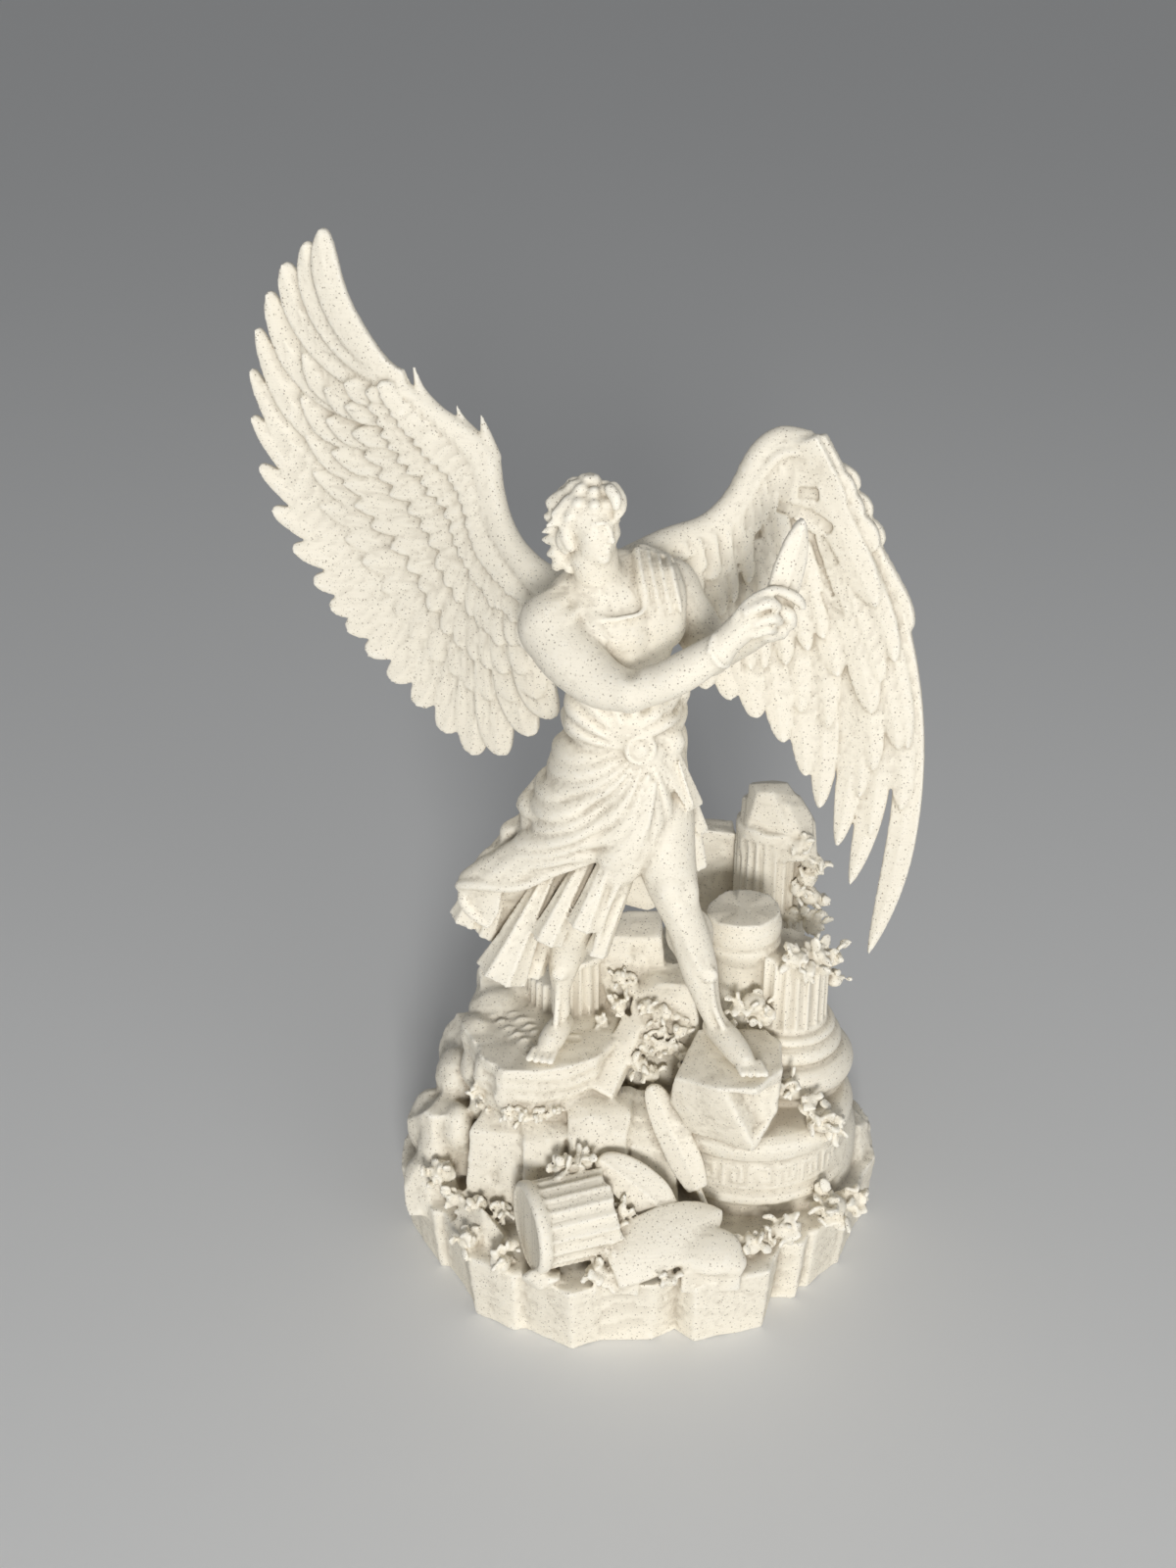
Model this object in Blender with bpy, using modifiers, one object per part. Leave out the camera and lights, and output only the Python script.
"""Winged statuette on its plinth, as two printed solids.

The figure, its robe, both wings and the feather in its hands are one solid. The plinth, a slab of rock with
fallen column drums, loose feathers and ivy, is the other. The figure's soles stand on the plinth's rocks.

Design sizes are millimetres in a frame whose origin is the middle of the plinth's flat underside: +X is the
viewer's right, +Y points away from the viewer and +Z is up. MM turns them into metres.
"""

import math
import random

import bmesh
import bpy
from mathutils import Matrix, Vector

# ---------------------------------------------------------------- driving dimensions (mm)
MM = 0.001
OBJECT_NAME = "icarus_statue"
SLAB_TOP = 10.5                   # top of the notched slab that everything stands on
LEDGE_TOP = 33.0                  # top of the tall rock under the right foot
STEP_TOP = 35.5                   # top of the faceted rock under the left foot
STAND_GAP = 0.3                   # clear gap between the soles and the rock
SOLE_RIGHT = LEDGE_TOP + STAND_GAP
SOLE_LEFT = STEP_TOP + STAND_GAP
FIGURE_VOXEL = 0.5
PLINTH_VOXEL = 0.55
FIGURE_TRIANGLES = 6000
PLINTH_TRIANGLES = 3600
WING_BLADE = 1.5                  # thickness of a wing feather
TIP_REACH = 1.1                   # how far a flight feather runs past the tip line, as its rounded end needs
RANDOM_SEED = 7

# ---------------------------------------------------------------- the figure's joints (mm)
HEAD = (-7.3, -6.5, 107.6)
NECK = (-6.6, -4.2, 101.2)
CHEST = (-4.4, -3.4, 93.0)
WAIST = (-2.6, -3.0, 83.0)
PELVIS = (-2.4, -2.6, 74.5)
SHOULDER_R = (-12.0, -6.5, 94.2)
ELBOW_R = (-1.8, -15.5, 88.4)
WRIST_R = (6.9, -17.5, 97.2)
HAND_R = (11.4, -16.0, 100.0)
SHOULDER_L = (2.8, 2.0, 96.0)
ELBOW_L = (7.2, -4.5, 89.5)
WRIST_L = (11.0, -12.0, 95.2)
HAND_L = (13.2, -15.5, 98.2)
HELD_QUILL = (12.6, -16.0, 96.0)
HELD_TIP = (16.2, -14.5, 111.2)
HIP_R, KNEE_R, ANKLE_R = (-6.0, -2.0, 71.0), (-7.2, -5.5, 54.5), (-11.6, 0.4, 37.6)
HEEL_R, TOE_R = (-11.4, 1.6, SOLE_RIGHT + 1.6), (-13.1, -7.2, SOLE_RIGHT + 1.3)
HIP_L, KNEE_L, ANKLE_L = (1.4, -3.0, 71.5), (4.2, -11.5, 59.5), (11.2, -7.4, 40.4)
HEEL_L, TOE_L = (11.0, -6.6, SOLE_LEFT + 1.7), (14.4, -14.0, SOLE_LEFT + 1.3)
LOCK_ROWS = ((4.0, 1.6, 5), (2.6, 3.6, 9), (0.2, 4.1, 9), (-2.4, 3.8, 8))   # height, reach, curls in the row
BELT = ((-9.4, -6.0, 80.4, 1.6), (-4.4, -8.4, 79.6, 1.6), (0.8, -8.0, 79.8, 1.6), (4.0, -2.0, 81.4, 1.5))
BUCKLE = (-0.6, -9.4, 79.6)
HIP_TAIL = ((3.6, -3.0, 78.0, 1.6), (6.6, -2.6, 69.4, 1.9), (7.0, -1.0, 62.0, 1.5), (7.4, 0.6, 56.6, 1.2))
SKIRT_FOLDS = 17
HEM_LINE = ((-2.0, -12.4, 60.0), (-7.6, -10.0, 54.0), (-13.6, -7.6, 49.6), (-18.4, -5.4, 46.4),
            (-23.6, -2.6, 50.4), (-21.0, 3.0, 50.0), (-12.0, 5.4, 49.0), (-3.0, 5.6, 51.0), (3.6, 3.6, 53.6))
SWAGS = ((76.0, -12.0), (71.4, -14.4), (66.4, -16.8), (60.6, -22.6))

# ------------------------------------------------------ the wings' guide lines, wing tip to root (mm)
RIGHT_BONE = ((-34, 19.5, 123), (-28.5, 18.5, 115), (-21.5, 17, 107), (-18, 13.5, 98.5), (-12, 9, 93.5))
RIGHT_MIDDLE = ((-37.5, 20.5, 129), (-40.5, 24, 112), (-33, 22, 95.5), (-23.5, 17.5, 83), (-13.5, 12, 81.5))
RIGHT_TIPS = ((-40, 22, 135.5), (-50.8, 26, 114), (-43.5, 23, 89.5), (-30, 19, 74), (-14, 13, 72))
RIGHT_FACE = (0.25, -1, 0.1)
LEFT_BONE = ((30.5, 13, 99.5), (24.5, 14, 107.5), (17, 15, 111.5), (10.5, 13, 103.5), (1, 9, 97.5))
LEFT_MIDDLE = ((34.4, 9, 75), (31, 11, 80), (25.5, 12, 84), (18.5, 12.5, 89), (7.5, 10, 91))
LEFT_TIPS = ((31.4, 4.5, 43), (27.6, 6.4, 54), (22.4, 9, 65), (15.5, 11, 74.5), (7.5, 10, 81))
LEFT_FACE = (-0.5, -0.87, 0.1)
WING_ARM_R = ((-32.5, 19, 121, 1.0), (-24.4, 17.8, 112.6, 1.5), (-19.6, 15.8, 106.4, 1.8),
              (-17.5, 13, 99.5, 2.0), (-11.5, 7.5, 95.2, 2.4), (-6.5, 3, 95.5, 3.0))
WING_ARM_L = ((28.6, 13, 101.6, 1.0), (22.4, 14.4, 110.8, 1.7), (15.4, 14.8, 112.4, 2.0),
              (10.6, 13, 104.6, 2.0), (5.5, 11, 99.4, 2.2), (-1, 7, 98.4, 2.5), (-4.5, 3, 97.4, 3.0))

# ---------------------------------------------------------------- the plinth's outlines, plan view (mm)
SLAB_OUTLINE = ((-33.2, 3), (-31, -4), (-27.6, -9), (-24, -12.5), (-22.4, -19), (-15, -23.6), (-10.4, -25.2),
                (-7, -26.6), (-1.4, -24.2), (4.6, -24.4), (7, -26), (16, -22), (18.4, -17.4), (22.4, -16.4),
                (27.6, -10.4), (30.6, -5), (33.2, 1), (33, 11), (28.4, 21), (20.6, 29), (9, 33.6), (-6, 33.4),
                (-18, 28.6), (-27, 20.4), (-32, 11.4))
LEDGE_OUTLINE = ((-24.4, 2), (-22.8, 10.4), (-15, 17), (-2, 19), (3, 8), (-4.2, -2.4), (-6.6, -6),
                 (-12.4, -8.6), (-18.2, -9.2), (-22.8, -5))
IVY = ((-2.4, 2.6, 34.4), (-2.2, -2.4, 31.0), (-27.6, -6.4, 17.8), (-20.6, -12.0, 13.4), (-12.0, -9.0, 18.0),
       (-3.8, -16.6, 17.0), (-5.6, -18.0, 12.2), (-20.0, -20.0, 11.6), (-14.0, -23.6, 11.6),
       (15.6, -16.6, 14.0), (20.6, -12.0, 14.4), (27.0, -8.0, 15.4), (23.8, -4.2, 27.4), (14.8, -4.6, 41.0),
       (20.4, 0.0, 46.4), (24.6, 20.0, 46.0), (25.2, 20.0, 40.0), (25.0, 14.0, 35.0), (4.2, -20.8, 11.6))
STEP_OUTLINE = ((5.4, -9.6), (11.0, -13.4), (17.4, -16.6), (19.0, -9.6), (16, -2), (8, -1.6), (4.4, -5.6))


def clear_scene():
    """Remove every object that the scene starts with."""
    for thing in list(bpy.data.objects):
        bpy.data.objects.remove(thing, do_unlink=True)


def point(triple):
    """Turn a design point in millimetres into a vector in metres."""
    return Vector(triple[:3]) * MM


def link_new(name, data):
    """Link a new object for the given mesh or curve data into the scene and return it."""
    thing = bpy.data.objects.new(name, data)
    bpy.context.scene.collection.objects.link(thing)
    return thing


def mesh_from_bmesh(bm):
    """Write a bmesh into a new mesh and free it."""
    mesh = bpy.data.meshes.new("shape")
    bm.to_mesh(mesh)
    bm.free()
    return mesh


def tube(stops):
    """Round tube through stops (x, y, z, radius), closed by balls at both ends; returns a list of meshes."""
    curve = bpy.data.curves.new("tube", "CURVE")
    curve.dimensions = "3D"
    curve.bevel_depth = MM
    curve.bevel_resolution = 3
    curve.use_fill_caps = True
    curve.resolution_u = 6
    spline = curve.splines.new("NURBS")
    spline.points.add(len(stops) - 1)
    for knot, stop in zip(spline.points, stops):
        knot.co = (*point(stop), 1.0)
        knot.radius = stop[3]
    spline.order_u = min(4, len(stops))
    spline.use_endpoint_u = True
    guide = link_new("tube", curve)
    evaluated = guide.evaluated_get(bpy.context.evaluated_depsgraph_get())
    mesh = bpy.data.meshes.new_from_object(evaluated)
    bpy.data.objects.remove(guide, do_unlink=True)
    ends = [ball(stop, (stop[3],) * 3) for stop in (stops[0], stops[-1])]
    return [mesh, *ends]


def ball(centre, radii, turn=None, segments=16):
    """Ellipsoid of the given radii in millimetres, turned by a rotation matrix."""
    bm = bmesh.new()
    bmesh.ops.create_uvsphere(bm, u_segments=segments, v_segments=segments // 2 + 2, radius=MM)
    place = Matrix.Translation(point(centre)) @ (turn or Matrix()) @ Matrix.Diagonal((*radii, 1.0))
    bm.transform(place)
    return mesh_from_bmesh(bm)


def frame_along(direction, face):
    """Rotation whose X runs along direction and whose Z is nearest to face."""
    along = direction.normalized()
    side = face.cross(along).normalized()
    return Matrix((along, side, along.cross(side))).transposed().to_4x4()


def blade(root, middle, tip, width, thick, face):
    """Flat rounded feather bent through root, middle and tip, its broad side turned to face."""
    start, bend, end = Vector(root), Vector(middle) * 2 - (Vector(root) + Vector(tip)) / 2, Vector(tip)
    bm = bmesh.new()
    upright = Matrix.Rotation(math.pi / 2, 4, "Y")
    bmesh.ops.create_uvsphere(bm, u_segments=12, v_segments=10, radius=1.0, matrix=upright)
    for corner in bm.verts:
        t = (corner.co.x + 1) / 2
        spine = start * (1 - t) ** 2 + bend * 2 * t * (1 - t) + end * t ** 2
        along = (bend - start) * (1 - t) + (end - bend) * t
        side = Vector(face).cross(along).normalized()
        lift = along.cross(side).normalized()
        corner.co = (spine + side * corner.co.y * width / 2 + lift * corner.co.z * thick / 2) * MM
    return mesh_from_bmesh(bm)


def straight_blade(root, tip, width, thick, face):
    """A blade whose middle lies halfway between root and tip."""
    return blade(root, (Vector(root) + Vector(tip)) / 2, tip, width, thick, face)


def smooth_line(stops, share):
    """Catmull-Rom curve through stops, at share 0 to 1 of its length in stops."""
    spans = len(stops) - 1
    at = min(share * spans, spans - 1e-6)
    index = int(at)
    t = at - index
    p0, p1, p2, p3 = (Vector(stops[min(max(index + k, 0), spans)]) for k in (-1, 0, 1, 2))
    return 0.5 * (2 * p1 + (p2 - p0) * t + (2 * p0 - 5 * p1 + 4 * p2 - p3) * t ** 2
                  + (3 * p1 - p0 - 3 * p2 + p3) * t ** 3)


def rock(centre, size, seed, lean=0.0):
    """Faceted boulder: the convex hull of an icosphere whose corners are pushed about."""
    rolls = random.Random(seed)
    bm = bmesh.new()
    bmesh.ops.create_icosphere(bm, subdivisions=1, radius=MM)
    for corner in bm.verts:
        square = max(abs(value) for value in corner.co) / MM
        corner.co *= (0.86 / square) * rolls.uniform(0.9, 1.12)
    hull = bmesh.ops.convex_hull(bm, input=bm.verts)
    bmesh.ops.delete(bm, geom=hull["geom_interior"], context="VERTS")
    stretch = Matrix.Diagonal((size[0] / 2, size[1] / 2, size[2] / 2, 1.0))
    bm.transform(Matrix.Translation(point(centre)) @ Matrix.Rotation(lean, 4, "Y") @ stretch)
    return mesh_from_bmesh(bm)


def prism(outline, bottom, top, scale=1.0):
    """Upright prism on a plan outline, from a filled 2D curve; scale shrinks it about its middle."""
    middle = sum((Vector(corner) for corner in outline), Vector((0, 0))) / len(outline)
    curve = bpy.data.curves.new("outline", "CURVE")
    curve.dimensions = "2D"
    curve.fill_mode = "BOTH"
    curve.extrude = (top - bottom) / 2 * MM
    spline = curve.splines.new("POLY")
    spline.points.add(len(outline) - 1)
    for knot, corner in zip(spline.points, outline):
        place = middle + (Vector(corner) - middle) * scale
        knot.co = (place.x * MM, place.y * MM, 0.0, 1.0)
    spline.use_cyclic_u = True
    guide = link_new("outline", curve)
    evaluated = guide.evaluated_get(bpy.context.evaluated_depsgraph_get())
    mesh = bpy.data.meshes.new_from_object(evaluated)
    bpy.data.objects.remove(guide, do_unlink=True)
    mesh.transform(Matrix.Translation((0, 0, (top + bottom) / 2 * MM)))
    return mesh


def drum(foot, axis, radius, length, flutes=0, groove=0.5):
    """Column drum from its foot along an axis, with flutes cut as every second side drawn inwards."""
    bm = bmesh.new()
    segments = 2 * flutes if flutes else 32
    bmesh.ops.create_cone(bm, cap_ends=True, segments=segments, radius1=radius * MM, radius2=radius * MM,
                          depth=length * MM)
    if flutes:
        for corner in bm.verts:
            angle = math.atan2(corner.co.y, corner.co.x)
            if round(angle / math.pi * flutes) % 2:
                corner.co.xy *= (radius - groove) / radius
    run = Vector(axis).normalized()
    turn = run.to_track_quat("Z", "Y").to_matrix().to_4x4()
    bm.transform(Matrix.Translation(point(foot) + run * length / 2 * MM) @ turn)
    return mesh_from_bmesh(bm)


def ring(centre, radius, thick):
    """Torus moulding that lies level round a column."""
    curve = bpy.data.curves.new("ring", "CURVE")
    curve.dimensions = "3D"
    curve.bevel_depth = thick * MM
    curve.bevel_resolution = 2
    spline = curve.splines.new("POLY")
    sides = 32
    spline.points.add(sides - 1)
    for index, knot in enumerate(spline.points):
        angle = 2 * math.pi * index / sides
        spot = Vector(centre) + Vector((math.cos(angle), math.sin(angle), 0)) * radius
        knot.co = (*(spot * MM), 1.0)
    spline.use_cyclic_u = True
    guide = link_new("ring", curve)
    evaluated = guide.evaluated_get(bpy.context.evaluated_depsgraph_get())
    mesh = bpy.data.meshes.new_from_object(evaluated)
    bpy.data.objects.remove(guide, do_unlink=True)
    return mesh


def fuse(name, shapes, voxel, triangles, floor=None):
    """Fuse overlapping shapes into one solid by voxel remesh and decimate; floor cuts it off flat below."""
    bm = bmesh.new()
    for shape in shapes:
        bm.from_mesh(shape)
        bpy.data.meshes.remove(shape)
    bmesh.ops.remove_doubles(bm, verts=bm.verts, dist=0.00001)
    lump = link_new(name, mesh_from_bmesh(bm))
    remesh = lump.modifiers.new("fuse", "REMESH")
    remesh.mode = "VOXEL"
    remesh.voxel_size = voxel * MM
    even = lump.modifiers.new("even", "SMOOTH")
    even.factor = 0.5
    even.iterations = 1
    lump.data = applied(lump)
    lump.modifiers.clear()
    keep_largest(lump.data)
    thin = lump.modifiers.new("thin", "DECIMATE")
    thin.ratio = triangles / (2 * len(lump.data.polygons))
    lump.data = applied(lump)
    lump.modifiers.clear()
    if floor is not None:
        cut_flat(lump.data, floor)
    return lump


def applied(thing):
    """The mesh of an object as its modifiers leave it."""
    evaluated = thing.evaluated_get(bpy.context.evaluated_depsgraph_get())
    return bpy.data.meshes.new_from_object(evaluated)


def keep_largest(mesh):
    """Delete every loose island but the one with the most faces."""
    bm = bmesh.new()
    bm.from_mesh(mesh)
    islands, seen = [], set()
    for start in bm.verts:
        if start in seen:
            continue
        island, queue = [], [start]
        seen.add(start)
        while queue:
            corner = queue.pop()
            island.append(corner)
            for edge in corner.link_edges:
                other = edge.other_vert(corner)
                if other not in seen:
                    seen.add(other)
                    queue.append(other)
        islands.append(island)
    islands.sort(key=len)
    for island in islands[:-1]:
        bmesh.ops.delete(bm, geom=island, context="VERTS")
    bm.to_mesh(mesh)
    bm.free()


def cut_flat(mesh, height):
    """Cut the mesh off at a height, close the cut flat, and make it triangles."""
    bm = bmesh.new()
    bm.from_mesh(mesh)
    everything = bm.verts[:] + bm.edges[:] + bm.faces[:]
    bmesh.ops.bisect_plane(bm, geom=everything, dist=1e-7, plane_co=(0, 0, height * MM), plane_no=(0, 0, -1),
                           clear_outer=True)
    bmesh.ops.holes_fill(bm, edges=[edge for edge in bm.edges if edge.is_boundary])
    bmesh.ops.triangulate(bm, faces=bm.faces)
    bmesh.ops.recalc_face_normals(bm, faces=bm.faces)
    bm.to_mesh(mesh)
    bm.free()


# ---------------------------------------------------------------- the figure
def head_shapes():
    """Skull, plain face with nose and chin, neck, and a cap of curled locks."""
    gaze = Vector((0.42, -0.86, -0.28)).normalized()
    turn = frame_along(gaze, Vector((0.1, 0, 1)))
    centre = Vector(HEAD)
    shapes = [ball(centre, (4.0, 3.3, 4.7), turn),
              ball(centre + gaze * 1.4 - Vector((0, 0, 2.6)), (2.6, 2.1, 2.3), turn),
              ball(centre + gaze * 4.0 - Vector((0, 0, 0.6)), (0.8, 0.6, 1.2), turn)]
    shapes += tube((HEAD + (2.6,), NECK + (2.5,), (*CHEST[:2], 98.0, 3.6)))
    for row, (lift, reach, count) in enumerate(LOCK_ROWS):
        for step in range(count):
            angle = 2 * math.pi * (step + 0.5 * row) / count
            out = Vector((math.cos(angle), math.sin(angle), 0))
            if out.dot(gaze) < 0.45 or lift > 2:
                spot = centre + out * reach + Vector((0, 0.6, lift))
                shapes.append(ball(spot, (1.3, 1.3, 1.2), segments=8))
    return shapes


def trunk_shapes():
    """Chest, waist, hips, shoulders, belt and buckle."""
    lean = frame_along(Vector((0.94, 0.34, 0)), Vector((0, 0, 1)))
    shapes = [ball(CHEST, (8.2, 5.4, 8.2), lean), ball(WAIST, (6.6, 4.9, 8.0), lean),
              ball(PELVIS, (7.6, 6.0, 8.0), lean),
              ball(SHOULDER_R, (3.9, 3.9, 4.2)), ball(SHOULDER_L, (3.6, 3.6, 3.8))]
    shapes += tube((SHOULDER_R + (3.0,), (-7.4, -3.0, 98.6, 3.6), (-4.0, -1.0, 99.0, 3.6),
                    SHOULDER_L + (3.0,)))
    shapes += tube(BELT)
    shapes.append(drum(BUCKLE, (0.18, -1, 0.1), 2.0, 0.9))
    shapes += [ball((4.6, 1.4, 84.4), (1.8, 2.6, 3.0)), ball((4.8, 1.6, 78.0), (1.6, 2.4, 3.0))]
    return shapes


def arm_shapes():
    """Both arms, fists and the broad feather they hold."""
    shapes = tube((SHOULDER_R + (3.9,), (-7.0, -11.4, 91.4, 4.2), ELBOW_R + (3.0,)))
    shapes += tube((ELBOW_R + (2.9,), (2.6, -17.0, 92.6, 2.8), WRIST_R + (2.0,)))
    shapes += [ball(HAND_R, (2.6, 1.9, 1.9)), ball(HAND_L, (1.9, 1.8, 2.0))]
    shapes += tube((WRIST_R + (1.8,), HAND_R + (1.7,)))
    shapes += tube((SHOULDER_L + (3.4,), (6.0, -1.2, 92.4, 3.1), ELBOW_L + (2.6,)))
    shapes += tube((ELBOW_L + (2.5,), WRIST_L + (1.8,), HAND_L + (1.6,)))
    shapes.append(straight_blade(HELD_QUILL, HELD_TIP, 4.4, 1.6, (0.25, -1, 0.2)))
    return shapes


def leg_shapes():
    """Bare legs with feet; the right leg stands back and the left steps forward and down."""
    shapes = tube((HIP_R + (4.2,), KNEE_R + (3.2,), (-9.4, -1.6, 47.0, 2.8), ANKLE_R + (1.9,)))
    shapes += tube((HEEL_R + (1.6,), (-12.2, -2.4, SOLE_RIGHT + 2.0, 1.9), TOE_R + (1.3,)))
    shapes += tube((HIP_L + (4.8,), (2.4, -8.2, 66.0, 4.6), KNEE_L + (3.3,), (8.2, -8.6, 49.6, 2.8),
                    ANKLE_L + (1.7,)))
    shapes += tube((HEEL_L + (1.7,), (12.6, -10.0, SOLE_LEFT + 2.1, 2.0), TOE_L + (1.3,)))
    shapes += [ball((-11.0, -1.0, 44.6), (2.2, 2.2, 1.6)), ball((8.8, -9.6, 48.6), (2.6, 2.4, 2.0))]
    return shapes


def robe_shapes():
    """Skirt of long folds that fan out from the belt to a hem swept to the figure's right."""
    shapes = [ball((-9.6, -1.0, 61.0), (8.4, 5.2, 11.0)), ball((-15.0, -0.6, 55.0), (7.6, 4.0, 6.4)),
              ball((-3.6, -2.0, 66.0), (6.6, 5.6, 9.0))]
    for index in range(SKIRT_FOLDS):
        share = index / (SKIRT_FOLDS - 1)
        hem = smooth_line(HEM_LINE, share)
        angle = math.radians(-60 - 270 * share)
        waist = Vector(PELVIS) + Vector((6.4 * math.cos(angle), 4.6 * math.sin(angle), 5.0))
        knee = waist.lerp(hem, 0.55) + Vector((math.cos(angle), math.sin(angle), 1.0)) * 1.2
        shapes += tube((tuple(waist) + (1.8,), tuple(knee) + (1.9,), tuple(hem) + (1.5,)))
    for height, reach in SWAGS:
        shapes += tube(((1.0, -7.6, height + 2.2, 1.6), (reach * 0.55, -8.2, height - 0.4, 1.9),
                        (reach, -1.6, height - 1.2, 1.8), (reach * 0.4, 4.6, height + 1.0, 1.8)))
    shapes += tube(HIP_TAIL)
    return shapes


def wing_shapes(bone, middle, tips, arm, feathers, width, face):
    """One wing: tapered arm, long flight feathers to the tip line, and rows of coverts over their roots."""
    shapes = tube(arm)
    front = Vector(face).normalized()
    for index in range(feathers):
        share = index / (feathers - 1)
        top, mid, end = (smooth_line(line, share) for line in (bone, middle, tips))
        end = mid.lerp(end, TIP_REACH)
        shapes.append(blade(top, mid, end, width, WING_BLADE, face))
        for reach, lift in ((1.0, 0.5), (0.66, 0.9), (0.36, 1.2)):
            near = smooth_line(bone, min(share + 0.5 / feathers, 1.0)) + front * lift * 0.5
            far = near.lerp(mid, reach) + front * lift * 0.5
            shapes.append(straight_blade(near, far, width, WING_BLADE, face))
    return shapes


def build_figure():
    """The whole figure as one solid."""
    shapes = head_shapes() + trunk_shapes() + arm_shapes() + leg_shapes() + robe_shapes()
    shapes += wing_shapes(RIGHT_BONE, RIGHT_MIDDLE, RIGHT_TIPS, WING_ARM_R, 21, 4.6, RIGHT_FACE)
    shapes += wing_shapes(LEFT_BONE, LEFT_MIDDLE, LEFT_TIPS, WING_ARM_L, 13, 4.2, LEFT_FACE)
    return fuse("icarus_figure", shapes, FIGURE_VOXEL, FIGURE_TRIANGLES)


# ---------------------------------------------------------------- the plinth
def rock_shapes():
    """Slab, the two rocks that carry the feet, their flanks and the loose boulders."""
    shapes = [prism(SLAB_OUTLINE, -2.0, SLAB_TOP), prism(LEDGE_OUTLINE, 27.0, LEDGE_TOP),
              prism(LEDGE_OUTLINE, 5.0, 28.0, 0.93),
              prism(STEP_OUTLINE, 31.0, STEP_TOP), prism(STEP_OUTLINE, 23.0, 32.0, 0.94)]
    boulders = (((-26.4, 4.0, 13.0), (12, 16, 14), 1, 0.1), ((-19.4, -5.0, 15.6), (9, 9, 12), 2, 0.2),
                ((-12.6, -6.4, 15.0), (7, 8, 14), 3, -0.1), ((-4.2, -6.0, 20.6), (10, 9, 12), 4, 0.0),
                ((1.0, -1.0, 19.0), (16, 16, 22), 5, 0.0), ((24.0, 4.0, 13.0), (18, 18, 8), 6, 0.0),
                ((4.0, 16.0, 20.0), (46, 26, 28), 8, 0.0), ((-23.0, -15.0, 12.0), (9, 8, 5), 9, 0.3),
                ((-5.0, 22.0, 24.0), (30, 18, 20), 10, 0.0), ((9.6, 29.0, 36.0), (12, 9, 22), 11, 0.0),
                ((30.0, 3.0, 13.6), (6, 9, 9), 12, 0.0), ((10.6, -7.4, 28.0), (15, 11, 13), 13, 0.1))
    shapes += [rock(centre, size, RANDOM_SEED + seed, lean) for centre, size, seed, lean in boulders]
    shapes.append(straight_blade((-1.0, 0.4, 35.0), (-5.2, -6.6, 25.6), 6.4, 2.2, (-0.3, -0.8, 0.6)))
    return shapes


def column_shapes():
    """Frieze disc, standing stub with its mouldings, broken drums, the tall column and the fallen drum."""
    up = (0, 0, 1)
    shapes = [drum((18.0, 1.2, 8.0), up, 13.4, 16.0), ring((18.0, 1.2, 22.6), 13.0, 1.2),
              ring((18.0, 1.2, 12.4), 13.2, 1.0)]
    shapes += [drum((19.4, 3.4, 20.0), up, 8.4, 8.0), ring((19.4, 3.4, 27.2), 8.0, 1.6),
               ring((19.4, 3.4, 30.6), 6.8, 1.2), drum((20.0, 3.4, 26.0), up, 5.6, 19.5, 12)]
    shapes += [drum((14.0, 2.8, 28.0), up, 5.0, 22.0, 10), ring((14.0, 2.8, 50.0), 4.4, 1.3)]
    shapes += [drum((18.8, 23.4, 10.0), up, 7.2, 43.0, 12), rock((18.8, 23.6, 53.0), (12.6, 12, 13), 21)]
    shapes += [drum((-2.4, 12.0, 22.0), up, 6.2, 18.4, 12), drum((-15.0, 10.0, 26.0), up, 4.0, 9.0, 9)]
    shapes.append(drum((-15.4, -20.8, 16.6), (0.94, 0.34, 0), 6.2, 15.0, 12))
    return shapes


def litter_shapes():
    """Loose feathers, the fragment of a wing at the front and clumps of ivy."""
    shapes = [straight_blade((7.6, -13.6, 14.4), (1.2, 0.6, 22.6), 4.2, 1.8, (-0.3, -0.5, 0.8)),
              straight_blade((3.6, -14.8, 13.6), (-6.6, -9.6, 20.6), 5.4, 1.8, (-0.2, -0.6, 0.8)),
              straight_blade((-5.4, -22.8, 12.2), (10.4, -16.4, 15.6), 8.8, 2.6, (0.1, -0.5, 0.9)),
              ball((9.2, -21.6, 13.4), (5.0, 3.4, 1.8)),
              prism(((-6, -24), (10, -24.4), (12, -18), (-4, -18)), 9.0, 13.2)]
    rolls = random.Random(RANDOM_SEED)
    for clump in IVY:
        for _ in range(3):
            spread = Vector((rolls.uniform(-1.3, 1.3), rolls.uniform(-1.3, 1.3), rolls.uniform(-1.0, 1.0)))
            shapes.append(ball(Vector(clump) + spread, (1.5, 1.2, 0.9), segments=8))
    return shapes


def build_plinth():
    """The whole plinth as one solid with a flat underside."""
    shapes = rock_shapes() + column_shapes() + litter_shapes()
    return fuse("plinth", shapes, PLINTH_VOXEL, PLINTH_TRIANGLES, floor=0.0)


def dress(thing, colour, roughness):
    """Give an object its own material and shade it smooth between its crisp edges."""
    finish = bpy.data.materials.new(thing.name + "_print")
    finish.use_nodes = True
    shader = finish.node_tree.nodes["Principled BSDF"]
    shader.inputs["Base Color"].default_value = (*colour, 1.0)
    shader.inputs["Roughness"].default_value = roughness
    shader.inputs["Metallic"].default_value = 0.0
    thing.data.materials.append(finish)
    thing.data.shade_smooth()
    thing.data.set_sharp_from_angle(angle=math.radians(40))


def main():
    """Build both solids into the object's collection."""
    clear_scene()
    home = bpy.data.collections.new(OBJECT_NAME)
    bpy.context.scene.collection.children.link(home)
    for thing in (build_figure(), build_plinth()):
        dress(thing, (0.80, 0.76, 0.66), 0.62)
        bpy.context.scene.collection.objects.unlink(thing)
        home.objects.link(thing)


main()
